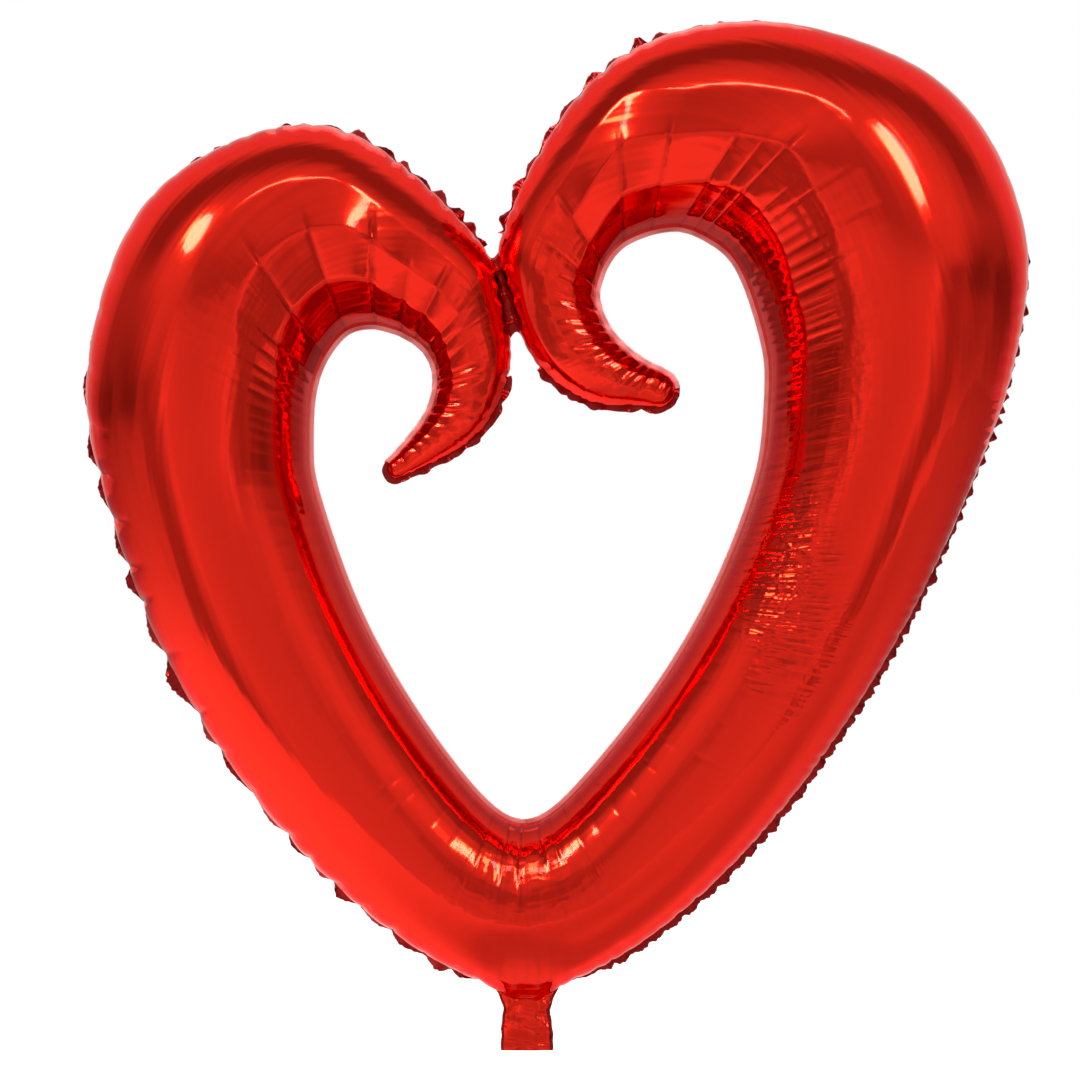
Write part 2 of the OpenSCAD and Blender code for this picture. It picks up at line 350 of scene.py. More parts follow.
WELD_SHOWN = 2.6 * MM  # width of side weld beside the film


class Balloon:
    """Everything the pieces share: the tube, its creases and the film surfaces."""

    def __init__(self, pleat_depth):
        self.tube = tube = Tube(STATION_SPACING)
        self.inner_pleats = Pleats(tube, tube.along_inner, INNER_PLEATS, seed=11)
        self.outer_pleats = Pleats(tube, tube.along_outer, OUTER_PLEATS, seed=5)
        angle = np.linspace(0, math.pi, ACROSS + 1)
        half, depth = tube.half[:, None], (tube.half * tube.depth_ratio)[:, None]
        start = np.arcsin(np.clip(SLOT_HALF / depth, 0, 0.9))
        turn = start + (math.pi - 2 * start) * (angle / math.pi)[None, :]
        creases = self.crease_depth(turn, pleat_depth)
        room = smooth_step(tube.half, 0, 40 * MM)[:, None] * 0.5 + 0.5
        swell = -creases * room
        flat = (half + swell) * np.cos(turn)
        out = (depth + swell) * np.sin(turn)
        x = tube.mid[:, :1] + tube.arm[:, :1] * flat
        z = tube.mid[:, 1:] + tube.arm[:, 1:] * flat
        y = np.maximum(out, SLOT_HALF)
        low = tube.outer[:, 1:] < SEAM_BOTTOM + tube.half[:, None]
        near_neck = np.exp(-np.abs(x / NECK_SPREAD) ** 3) * low
        mouth = neck_puff(x) * low
        funnel = 1 - smooth_step(turn, 0, FUNNEL_TURN)
        z = z - FUNNEL_DROP * near_neck * funnel ** 1.3
        fold = np.abs(np.sin(x / GATHER_SPACING + 0.6 * np.sin(x / GATHER_WANDER)))
        # Painted shade: the neck's gather folds are added to the crease lines that darken the film's
        # colour.
        self.crease_lines += near_neck * funnel * (1 - fold) ** 3
        y = y * (1 - FUNNEL_TAPER * near_neck * funnel) + mouth * funnel
        gather = GATHER_DEPTH * fold * near_neck * funnel * smooth_step(turn, 0, 0.3)
        y = np.maximum(y - gather, SLOT_HALF)
        y[mouth[:, 0] <= 0, 0] = RIM_HALF
        y[:, -1] = RIM_HALF
        y[[0, -1]] = RIM_HALF
        self.grid = np.stack([x, -y, z], axis=2)
        self.outer_seam = self.grid[:, 0][:, [0, 2]]
        self.inner_seam = self.grid[:, -1][:, [0, 2]]
        self.neck_columns = np.nonzero((np.abs(self.outer_seam[:, 0]) < NECK_HIGH.x)
                                       & (self.outer_seam[:, 1] < SEAM_BOTTOM + NECK_RISE))[0]

    def crease_depth(self, turn, pleat_depth):
        """How far the film lies inside the round section, over (stations, across)."""
        tube = self.tube
        rng = np.random.default_rng(CREASE_SEED)
        from_inner = math.pi - turn
        end = tube.along_inner[-1] + WANDER_PAST
        wander = np.interp(tube.along_inner, np.arange(0, end, WANDER_STEP),
                           rng.normal(0, WANDER, int(end / WANDER_STEP) + 1))
        reach = np.radians(tube.by_share(CREASED_REACH)) * (1 + wander)
        share = from_inner / reach[:, None]
        flat = np.zeros_like(turn)
        for low, high in zip(RIDGES[:-1], RIDGES[1:]):
            start, end = low * reach[:, None], high * reach[:, None]
            middle, half = (low + high) / 2 * reach[:, None], (high - low) / 2 * reach[:, None]
            within = np.clip(from_inner, start, end) - middle
            flat += 1 - np.cos(half) / np.cos(within)
        flat *= tube.half[:, None] * tube.by_share(FLATNESS)[:, None]
        taut = 0.1 + 0.9 * smooth_step(share, 0, 0.3)
        # crease_lines marks where painted shade darkens the film along its creases.
        inner, self.crease_lines = self.inner_pleats.depth_at(tube.along_inner, share)
        outer = self.outer_pleats.depth_at(tube.along_outer, turn / OUTER_REACH)[0]
        self.round_from_inner = from_inner * tube.half[:, None]
        self.degrees_from_inner, self.share_from_inner = np.degrees(from_inner), share
        return flat + (inner * taut + outer) * pleat_depth


def neck_puff(x):
    """How far the air pushes the neck's film out from the seam plane."""
    return NECK_PUFF * np.clip(1 - (x / NECK_HIGH.x) ** 2, 0, 1)


def film_crinkle(x, z):
    """Random shallow creases over the neck and tail."""
    rng = np.random.default_rng(CRINKLE_SEED)
    total = np.zeros(np.broadcast(x, z).shape)
    for _ in range(CRINKLE_COUNT):
        cx, cz = rng.uniform(-1, 1) * TAIL_HIGH.x, rng.uniform(TAIL_LOW.z, SEAM_BOTTOM)
        turn = rng.uniform(0, math.pi)
        across = (x - cx) * math.cos(turn) + (z - cz) * math.sin(turn)
        along = -(x - cx) * math.sin(turn) + (z - cz) * math.cos(turn)
        width, length = rng.uniform(1.6, 4.0) * MM, rng.uniform(8, 24) * MM
        depth = rng.uniform(-1, 1) * CRINKLE_DEPTH
        total += depth * np.exp(-np.abs(across) / width) * np.exp(-(along / length) ** 2)
    return total


def neck_points(balloon, side, inset=0.0):
    """The film from the seam down the neck and tail, as rows of points under the tube."""
    top = balloon.grid[balloon.neck_columns, 0]
    share = top[:, 0] / np.abs(top[:, 0]).max()
    rows = []
    heights = [*np.linspace(1, 0, NECK_ROWS + 1)[1:], *-np.linspace(0, 1, TAIL_ROWS + 1)[1:]]
    for h in heights:
        z = np.where(h >= 0, FOLD_Z + (top[:, 2] - FOLD_Z) * h, FOLD_Z + (FOLD_Z - TAIL_LOW.z) * h)
        drawn = math.sqrt(1 - max(h, 0) ** 2)
        waist = 1 - NECK_WAIST * np.exp(-((z - FOLD_Z) / WAIST_HEIGHT) ** 2)
        x = top[:, 0] + (share * TAIL_HIGH.x * waist - top[:, 0]) * drawn
        ragged = np.sin(z / (3.1 * MM)) * np.sin(z / (7.0 * MM) + np.sign(x))
        x = x * (1 + 0.025 * ragged * drawn)
        x = x - inset * drawn * np.sign(share) * share ** 4
        rise = 1 - smooth_step(h, 0.7, 1.0)
        puff = NECK_PUFF * (1 - share ** 2) * (0.5 + 0.5 * math.cos(h * 2) if h < 0 else 1)
        wave = film_crinkle(x, z) * rise
        y = side * (SLOT_HALF + puff) + wave
        rows.append(np.stack([x, y, z], axis=1))
    return np.array(rows)


def film_mesh(balloon, side):
    """One whole film: panel, neck and tail."""
    grid = balloon.grid.copy()
    grid[:, :, 1] *= -side
    neck = neck_points(balloon, side, WELD_SHOWN)
    stations, across = grid.shape[:2]
    faces = [grid_faces(stations, across)]
    columns = balloon.neck_columns
    base = stations * across
    above = columns * across
    for row in range(len(neck)):
        here = base + row * len(columns) + np.arange(len(columns))
        faces.append(np.stack([above[:-1], above[1:], here[1:], here[:-1]], axis=1))
        above = here
    faces = np.concatenate(faces)
    if side > 0:
        faces = faces[:, ::-1]
    return np.concatenate([grid.reshape(-1, 3), neck.reshape(-1, 3)]), faces


# ---------------------------------------------------------------- seals, welds and valve

MARGIN_ROWS = 7
MARGIN_THICKNESS = 0.25 * MM
TUCK = 0.6 * MM  # how far a seal reaches in under the film
NECK_TAPER, NECK_NARROWING = 40 * MM, 0.75  # how the outer margins narrow towards the neck
FOLD_LIMIT = 84  # degrees
NOSE_POINTS = 10  # stations round the nose of a curled tip
WELD_COLUMNS = 9
WELD_GAP = 12 * MM  # the lobes are welded where they stand closer than this
WELD_SAG = 0.16
VALVE_ROWS, VALVE_COLUMNS = 60, 10
VALVE_GAP = 0.12 * MM
# How far each stretch of the outer margin folds back behind the tube, in degrees
OUTER_FOLD = (
    (0.0, 30), (LEFT_WELD_TOP, 52), (0.11, 60), (0.14, 66), (0.17, 78), (0.21, 74), (0.235, 44),
    (LEFT_LOW, 42), (0.42, 38), (0.49, 24), (RIGHT_LOW, 34), (0.66, 52), (0.72, 60), (0.75, 80),
    (0.845, 80), (0.865, 46), (RIGHT_WELD_TOP, 36), (1.0, 30))
# How much each stretch of the outer margin is drawn into separate points
OUTER_RUFFLE = (
    (0.0, 0.8), (0.09, 0.6), (0.17, 0.6), (0.22, 1.0), (0.40, 1.0), (0.44, 0.5), (0.52, 0.25),
    (RIGHT_LOW, 0.25), (0.66, 0.5), (0.80, 0.5), (0.87, 1.0), (1.0, 0.8))


def margin_mesh(seam, outward, width, wave, fold):
    """A flat seal that stands out from the seam; wave moves its free edge to and fro."""
    reach = np.linspace(0, 1, MARGIN_ROWS)[None, :]
    out = width[:, None] * reach * np.cos(fold)[:, None] - TUCK * (1 - reach)
    y = wave[:, None] * reach ** 1.3 + width[:, None] * reach * np.sin(fold)[:, None]
    x = seam[:, :1] + outward[:, :1] * out
    z = seam[:, 1:] + outward[:, 1:] * out
    return np.stack([x, y, z], axis=2)


def denser(values, times):
    """The same row of values with more points between them."""
    old = np.arange(len(values))
    new = np.linspace(0, len(values) - 1, (len(values) - 1) * times + 1)
    if values.ndim == 1:
        return np.interp(new, old, values)
    return np.stack([np.interp(new, old, v) for v in values.T], axis=1)


def outer_margin(balloon, first, last, width, ruffle):
    """The ruffled seal along the outer seam from one station to another."""
    tube = balloon.tube
    seam = denser(balloon.outer_seam[first:last + 1], 3)
    along = denser(tube.along_outer[first:last + 1], 3)
    share = denser(tube.share[first:last + 1], 3)
    outward = edge_normals(denser(tube.outer[first:last + 1], 3))
    k, within = balloon.outer_pleats.facet_at(along)
    side = np.where(k % 2 == 0, 1.0, -1.0)
    strength = np.interp(share, *zip(*OUTER_RUFFLE)) * ruffle
    peak = 0.5 + side * 0.14
    hump = np.where(within < peak, within / peak, (1 - within) / (1 - peak))
    fin = np.sin(math.pi / 2 * hump) ** 1.6 * balloon.outer_pleats.flare[k]
    pinch = 0.72 * np.minimum(strength, 1)
    beat = 1 + 0.07 * np.sin(along / (1.3 * MM)) + 0.05 * np.sin(along / (0.8 * MM) + 2)
    wide = width * (1 - pinch + 1.15 * pinch * fin) * beat
    at_neck = ((1 - smooth_step(np.abs(seam[:, 0]), NECK_HIGH.x, NECK_HIGH.x + NECK_TAPER))
               * (seam[:, 1] < SEAM_BOTTOM + NECK_TAPER))
    wide = wide * (1 - NECK_NARROWING * at_neck)
    wave = side * 3.5 * MM * (0.3 + 0.7 * strength) * np.sin(math.pi * within) ** 0.8
    wave = wave + 0.5 * MM * np.sin(along / (2.1 * MM))
    lean = np.interp(share, *zip(*OUTER_FOLD)) + strength * (25 - 45 * fin)
    fold = np.radians(np.clip(lean, 0, FOLD_LIMIT))
    return margin_mesh(seam, outward, wide, wave, fold)


def inner_margin(balloon, first, last, width):
    """The taut seal round the inside of the heart."""
    tube = balloon.tube
    seam = denser(balloon.inner_seam[first:last + 1], 2)
    along = denser(tube.along_inner[first:last + 1], 2)
    outward = -edge_normals(denser(tube.inner[first:last + 1], 2))
    k, within = balloon.inner_pleats.facet_at(along)
    strength = np.clip(balloon.inner_pleats.depth[k] / (2 * MM), 0, 1)
    wave = np.where(k % 2 == 0, 0.5, -0.5) * MM * np.sin(math.pi * within) * strength
    wide = np.full(len(seam), width)
    return margin_mesh(seam, outward, wide, wave, np.zeros(len(seam)))


def hook_margin(balloon, first, last, at_left, width, ruffle):
    """The seal round a free curled tip, from the outer seam round the nose to the inner seam."""
    tube = balloon.tube
    rows = slice(first, last + 1)
    outer, inner = balloon.outer_seam[rows], balloon.inner_seam[rows]
    if at_left:
        seam = np.concatenate([inner[:NOSE_POINTS][::-1], outer])
        along = np.concatenate([-tube.along_inner[:NOSE_POINTS][::-1], tube.along_outer[rows]])
    else:
        seam = np.concatenate([outer, inner[-NOSE_POINTS:][::-1]])
        tail = tube.along_inner[-NOSE_POINTS:][::-1]
        along = np.concatenate([tube.along_outer[rows], tube.along_outer[last] + tail[0] - tail])
    seam, along = denser(seam, 2), denser(along, 2)
    outward = edge_normals(seam)
    for _ in range(12):
        outward[1:-1] = (outward[:-2] + outward[1:-1] + outward[2:]) / 3
    outward /= np.linalg.norm(outward, axis=1)[:, None]
    beat = np.sin(along / (4.6 * MM)) + 0.6 * np.sin(along / (2.9 * MM) + 1.0)
    wide = width * (0.8 + 0.16 * beat * ruffle)
    wave = 1.1 * MM * ruffle * np.sin(along / (3.4 * MM) + 0.5)
    return margin_mesh(seam, outward, wide, wave, np.zeros(len(seam)))


def seam_part(balloon, first, last):
    """The outer seam between two shares of the tube's length."""
    return balloon.outer_seam[station(balloon, first):station(balloon, last) + 1]


def weld_mesh(balloon):
    """The flat weld between the two lobes."""
    left = seam_part(balloon, LEFT_HOOK_FREE, LEFT_WELD_TOP)
    right = seam_part(balloon, RIGHT_WELD_TOP, RIGHT_HOOK_FREE)[::-1]
    heights = np.linspace(max(left[:, 1].min(), right[:, 1].min()),
                          min(left[:, 1].max(), right[:, 1].max()), 120)
    a, b = (np.interp(heights, seam[:, 1], seam[:, 0]) for seam in (left, right))
    shown = b - a < WELD_GAP
    heights, a, b = heights[shown, None], a[shown, None] - TUCK, b[shown, None] + TUCK
    across = np.linspace(0, 1, WELD_COLUMNS)[None, :]
    x = a + (b - a) * across
    y = 0.8 * MM * np.sin(across * math.pi) * np.sin(heights / (5 * MM))
    middle = (heights[0] + heights[-1]) / 2
    z = middle + (heights - middle) * (1 - WELD_SAG * np.sin(across * math.pi))
    return np.stack([x, y, z], axis=2)


def station(balloon, share):
    return int(np.argmin(np.abs(balloon.tube.share - share)))


def side_weld_mesh(balloon):
    """The fused strips down both sides of the neck and tail."""
    front, back = neck_points(balloon, -1), neck_points(balloon, 1)
    strips = []
    for column, inward in ((0, 1), (-1, -1)):
        edge = (front[:, column] + back[:, column]) / 2
        near = column + 3 * inward
        inner = (front[:, near] + back[:, near]) / 2
        outer = edge - (inner - edge) * 0.12
        across = np.linspace(0, 1, 4)[None, :, None]
        strips.append(outer[:, None, :] * (1 - across) + inner[:, None, :] * across)
    return strips


def valve_points(left, right, low, high, offset):
    """One film of the valve sleeve, slightly wavy."""
    z = np.linspace(low, high, VALVE_ROWS)[:, None]
    x = np.linspace(left, right, VALVE_COLUMNS)[None, :]
    sag = VALVE_GAP * np.sin(z / (9 * MM)) * np.cos(x / (7 * MM))
    y = offset + sag * smooth_step(np.abs(z - FOLD_Z), 0, 20 * MM)
    y = y + film_crinkle(x, z) * (1 - smooth_step(z / SEAM_BOTTOM, 0.7, 1.0))
    return np.stack(np.broadcast_arrays(x, y, z), axis=2)


# ---------------------------------------------------------------- materials

def new_group(name, inputs, outputs):
    """An empty shader node group with float or colour sockets."""
    group = bpy.data.node_groups.new(name, "ShaderNodeTree")
    for label, kind, value in inputs:
        socket = group.interface.new_socket(label, in_out="INPUT", socket_type=kind)
        if value is not None:
            socket.default_value = value
    for label, kind in outputs:
        group.interface.new_socket(label, in_out="OUTPUT", socket_type=kind)
    enter = group.nodes.new("NodeGroupInput")
    leave = group.nodes.new("NodeGroupOutput")
    return group, enter, leave


def set_inputs(node, values):
    """Sets fixed input values by name."""
    for name, value in values.items():
        node.inputs[name].default_value = value


def math_node(tree, operation, a, b, clamp=False):
    node = tree.nodes.new("ShaderNodeMath")
    node.operation = operation
    node.use_clamp = clamp
    for socket, value in zip(node.inputs, (a, b)):
        if isinstance(value, (int, float)):
            socket.default_value = value
        else:
            tree.links.new(value, socket)
    return node.outputs[0]


def times(tree, a, b):
    return math_node(tree, "MULTIPLY", a, b)


def plus(tree, a, b):
    return math_node(tree, "ADD", a, b)


def mix_node(tree, factor, a, b):
    """A colour between a and b."""
    node = tree.nodes.new("ShaderNodeMix")
    node.data_type = "RGBA"
    for socket, value in (("Factor", factor), ("A", a), ("B", b)):
        if isinstance(value, (int, float, tuple)):
            node.inputs[socket].default_value = value
        else:
            tree.links.new(value, node.inputs[socket])
    return node.outputs["Result"]


def noise_node(tree, vector, scale, detail):
    node = tree.nodes.new("ShaderNodeTexNoise")
    set_inputs(node, {"Scale": scale, "Detail": detail, "Roughness": 0.5})
    tree.links.new(vector, node.inputs["Vector"])
    return node.outputs["Fac"]


def object_place(tree):
    return tree.nodes.new("ShaderNodeTexCoord").outputs["Object"]


def camera_ray(tree):
    return tree.nodes.new("ShaderNodeLightPath").outputs["Is Camera Ray"]


def stretched_noise(tree, place, run, across):
    """Noise with its own scale along the tube and round it."""
    stretch = tree.nodes.new("ShaderNodeVectorMath")
    stretch.operation = "MULTIPLY"
    stretch.inputs[1].default_value = (run, across, 1.0)
    tree.links.new(place, stretch.inputs[0])
    return noise_node(tree, stretch.outputs["Vector"], 1.0, 1.0)


STREAK_HEIGHT, FOLD_HEIGHT, FINE_HEIGHT = 0.9, 2.2, 0.02
FOIL_ROUGHNESS, WORN_ROUGHNESS = 0.085, 0.05
BUMP_DISTANCE = 0.0011  # metres
# How dark painted shade makes the foil's colour (DEEP_SHADE), and how strongly the small fold lines get it
# (FOLD_SHADE).
DEEP_SHADE, FOLD_SHADE = 0.3, 0.8


def crinkle_group():
    """Fine film texture: soft ripples all over, and small folds across the tube where the mask asks; the
    folds' lines also go out as Fold Lines, for painted shade.
    """
    group, enter, leave = new_group(
        "film_crinkle",
        [("Vector", "NodeSocketVector", None), ("Film Place", "NodeSocketVector", None),
         ("Crinkle Mask", "NodeSocketFloat", 0.0), ("Ripple", "NodeSocketFloat", 1.0)],
        [(label, "NodeSocketFloat") for label in ("Height", "Roughness", "Fold Lines")])
    vector = enter.outputs["Vector"]
    ripple = noise_node(group, vector, 9.0, 3.0)
    fine = noise_node(group, vector, 60.0, 2.0)
    folds = None
    for run, across, strength in ((150.0, 16.0, 1.0), (60.0, 75.0, 0.6)):
        lines = stretched_noise(group, enter.outputs["Film Place"], run, across)
        lines = math_node(group, "ABSOLUTE", math_node(group, "SUBTRACT", lines, 0.5), 0.0)
        lines = times(group, lines, strength)
        folds = lines if folds is None else plus(group, folds, lines)
    folds = times(group, folds, enter.outputs["Crinkle Mask"])
    streaks = stretched_noise(group, enter.outputs["Film Place"], 5.0, 85.0)
    streaks = times(group, streaks, STREAK_HEIGHT)
    soft = times(group, plus(group, ripple, streaks), enter.outputs["Ripple"])
    soft = plus(group, soft, times(group, fine, FINE_HEIGHT))
    height = plus(group, soft, times(group, folds, FOLD_HEIGHT))
    group.links.new(height, leave.inputs["Height"])
    worn = plus(group, times(group, fine, WORN_ROUGHNESS), FOIL_ROUGHNESS)
    group.links.new(worn, leave.inputs["Roughness"])
    # Fold Lines: where the foil's colour gets painted shade along the small folds.
    group.links.new(folds, leave.inputs["Fold Lines"])
    return group


def attribute_node(tree, name):
    node = tree.nodes.new("ShaderNodeAttribute")
    node.attribute_name = name
    return node


def new_material(name):
    """A material, its node tree and its shader."""
    material = bpy.data.materials.new(name)
    material.use_nodes = True
    return material, material.node_tree, material.node_tree.nodes["Principled BSDF"]


def foil_material(name, colour, crinkle, ripple, dull=0.0):
    """Metallised film: a tinted mirror under a clear skin, its colour darkened by painted shade along
    creases, folds and the inner seam.
    """
    material, tree, shader = new_material(name)
    set_inputs(shader, {"Metallic": 1.0, "Specular Tint": (1.0, 0.42, 0.40, 1), "Coat Weight": 0.2,
                        "Coat Roughness": 0.05, "Coat IOR": 1.5})
    group = tree.nodes.new("ShaderNodeGroup")
    group.node_tree = bpy.data.node_groups["film_crinkle"]
    tree.links.new(object_place(tree), group.inputs["Vector"])
    tree.links.new(attribute_node(tree, "film_place").outputs["Vector"], group.inputs["Film Place"])
    mask = attribute_node(tree, "crinkle").outputs["Fac"]
    tree.links.new(times(tree, mask, crinkle), group.inputs["Crinkle Mask"])
    group.inputs["Ripple"].default_value = ripple
    bump = tree.nodes.new("ShaderNodeBump")
    set_inputs(bump, {"Strength": 1.0, "Distance": BUMP_DISTANCE})
    tree.links.new(group.outputs["Height"], bump.inputs["Height"])
    tree.links.new(bump.outputs["Normal"], shader.inputs["Normal"])
    tree.links.new(plus(tree, group.outputs["Roughness"], dull), shader.inputs["Roughness"])
    # Painted shade: the colour darkens toward deep along the painted crease lines, beside the inner seam
    # and along the small fold lines.
    deep = (*[c * DEEP_SHADE for c in colour], 1)
    lines = attribute_node(tree, "crease").outputs["Fac"]
    fold_lines = times(tree, group.outputs["Fold Lines"], FOLD_SHADE)
    shadow = math_node(tree, "ADD", lines, fold_lines, True)
    tree.links.new(mix_node(tree, shadow, (*colour, 1), deep), shader.inputs["Base Color"])
    return material


def film_material(name, colour, alpha):
    """Clear valve film or its printed coat."""
    material, tree, shader = new_material(name)
    set_inputs(shader, {"Alpha": alpha, "Roughness": 0.35})
    cloud = noise_node(tree, object_place(tree), 120.0, 3.0)
    tone = mix_node(tree, cloud, (*colour, 1), (*[c * 0.85 for c in colour], 1))
    tree.links.new(tone, shader.inputs["Base Color"])
    return material


# ---------------------------------------------------------------- settings

def colour_setting(name, description, default):
    return bpy.props.FloatVectorProperty(name=name, description=description, subtype="COLOR", size=3,
                                         min=0, max=1, default=default)


def share_setting(name, description, high):
    return bpy.props.FloatProperty(name=name, description=description, default=1.0, min=0.0, max=high,
                                   subtype="FACTOR")


def length_setting(name, description, default, low, high):
    return bpy.props.FloatProperty(name=name, description=description, default=default, min=low,
                                   max=high, unit="LENGTH", precision=4)


class BalloonFilmSettings(bpy.types.PropertyGroup):
    foil_colour: colour_setting("Foil colour", "Colour of the metallised film", (0.90, 0.018, 0.005))
    # The seals are the same foil; this darker red is painted shade on the ruffled margins.
    shaded_seal_colour: colour_setting("Seal colour", "Colour of the fused seals", (0.30, 0.006, 0.006))
    # This pale pink is a painted highlight on the taut inner seal, which is the same red foil.
    highlit_inner_seal_colour: colour_setting("Inner seal colour", "Colour of the taut seal inside the heart",
                                      (1.0, 0.30, 0.28))
    pleat_depth: share_setting("Pleat depth", "Depth of the creases that run in from the seams", 2.0)
    # Crinkle also sets how strongly painted shade darkens the small fold lines.
    crinkle: share_setting("Crinkle", "Strength of the small sparkling folds", 2.0)


class BalloonSealSettings(bpy.types.PropertyGroup):
    outer_width: length_setting("Outer seal width", "Width of the fused margin outside the lobes",
                                9.5 * MM, 0.004, 0.014)
    hook_width: length_setting("Hook seal width", "Width of the fused margin round the curled tips",
                               6 * MM, 0.003, 0.010)
    inner_width: length_setting("Inner seal width", "Width of the fused margin inside the heart",
                                4.4 * MM, 0.003, 0.010)
    ruffle: share_setting("Ruffle", "How strongly the margins gather", 1.5)


class BalloonStageSettings(bpy.types.PropertyGroup):
    floor_colour: colour_setting("Floor colour", "Colour of the studio floor", (0.45, 0.45, 0.45))
    floor_drop: length_setting("Floor drop", "Height of the tail above the floor", 0.10, 0.0, 1.0)
    camera_distance: length_setting("Camera distance", "Distance from the camera to the seam plane",
                                    2.448, 1.0, 10.0)
    lens: bpy.props.FloatProperty(name="Lens", description="Focal length of the camera, in millimetres",
                                  default=85.0, min=20.0, max=200.0)


SHARED = {}
# How strongly painted shade darkens the film's colour along its crease lines and in a band beside the inner
# seam.
CREASE_SHADE = SEAM_SHADE = 0.75


def shared_balloon():
    """The tube and creases, worked out once and used by every operator."""
    if "balloon" not in SHARED:
        SHARED["balloon"] = Balloon(bpy.context.scene.balloon_film.pleat_depth)
    return SHARED["balloon"]


# Where small sparkling folds crowd together, their lines darkened by painted shade: (centre x, centre z,
# radius x, radius z, strength)
CRINKLE_SPOTS = (
    (0.246, 0.405, 0.050, 0.115, 1.9), (0.290, 0.600, 0.045, 0.120, 0.45),
    (0.0, 0.120, 0.090, 0.050, 1.0), (-0.050, 0.560, 0.050, 0.050, 0.8),
    (-0.045, 0.660, 0.030, 0.060, 0.6), (0.040, 0.690, 0.035, 0.080, 0.9),
    (0.090, 0.610, 0.060, 0.030, 0.8), (-0.065, 0.745, 0.035, 0.035, 0.6),
    (-0.260, 0.640, 0.050, 0.090, 0.35))


def paint(piece, name, values):
    """Stores a value or a vector for each point of a piece."""
    values = np.asarray(values, np.float32)
    kind = "FLOAT_VECTOR" if values.ndim == 2 else "FLOAT"
    attribute = piece.data.attributes.new(name, kind, "POINT")
    attribute.data.foreach_set("vector" if values.ndim == 2 else "value", values.ravel())


def paint_film(piece, balloon, points):
    """Marks where the film has small folds and which way they run, and paints shade along its main crease
    lines and beside the inner seam.
    """
    mask = np.zeros(len(points))
    for x, z, wide, high, strength in CRINKLE_SPOTS:
        near = ((points[:, 0] - x) / wide) ** 2 + ((points[:, 2] - z) / high) ** 2
        mask = np.maximum(mask, strength * np.clip(1.25 * np.exp(-near) - 0.25, 0, 1))
    mask = np.maximum(mask, 0.9 * smooth_step(-points[:, 2], -NECK_HIGH.z, 0))
    paint(piece, "crinkle", mask)
    panel = balloon.grid[:, :, 0].size
    seamward = 1 - smooth_step(balloon.degrees_from_inner.ravel(), 20, 42)
    creased = 1 - smooth_step(balloon.share_from_inner.ravel(), 0.85, 1.1)
    mask[:panel] *= (1 - seamward) * creased
    place = np.zeros((len(points), 3))
    place[:panel, 0] = np.repeat(balloon.tube.along_inner, balloon.grid.shape[1])
    place[:panel, 1] = balloon.round_from_inner.ravel()
    place[panel:, :2] = points[panel:, [0, 2]]
    paint(piece, "film_place", place)
    # Painted shade: darker along the crease lines and in a band beside the inner seam.
    lines = np.zeros(len(points))
    lines[:panel] = np.clip(balloon.crease_lines.ravel(), 0, 1) * CREASE_SHADE + seamward * SEAM_SHADE
    paint(piece, "crease", lines)


def paint_margin(piece, points):
    """Marks a seal as creased across its width all along, so its fold lines also get painted shade."""
    rows, columns = points.shape[:2]
    place = np.zeros((rows, columns, 3))
    place[:, :, 0] = steps_along(points[:, 0])[:, None]
    place[:, :, 1] = np.linspace(0, 10 * MM, columns)[None, :]
    paint(piece, "film_place", place.reshape(-1, 3))
    paint(piece, "crinkle", np.ones(rows * columns))


# ---------------------------------------------------------------- operators

class BALLOON_OT_films(bpy.types.Operator):
    """Makes the front and back films, each from lobe to tail"""
    bl_idname = "balloon.films"
    bl_label = "Films"

    def execute(self, context):
        crinkle_group()
        settings = context.scene.balloon_film
        material = foil_material("red_foil", settings.foil_colour, settings.crinkle, 0.5)
        balloon = shared_balloon()
        for name, side in (("front", -1), ("back", 1)):
            points, faces = film_mesh(balloon, side)
            film = new_piece(name + "_film", points, faces, material)
            paint_film(film, balloon, points)
            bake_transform(film)
            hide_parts(name + "_panel", "neck_" + name + "_ply", "tail_" + name + "_ply")
        return {"FINISHED"}


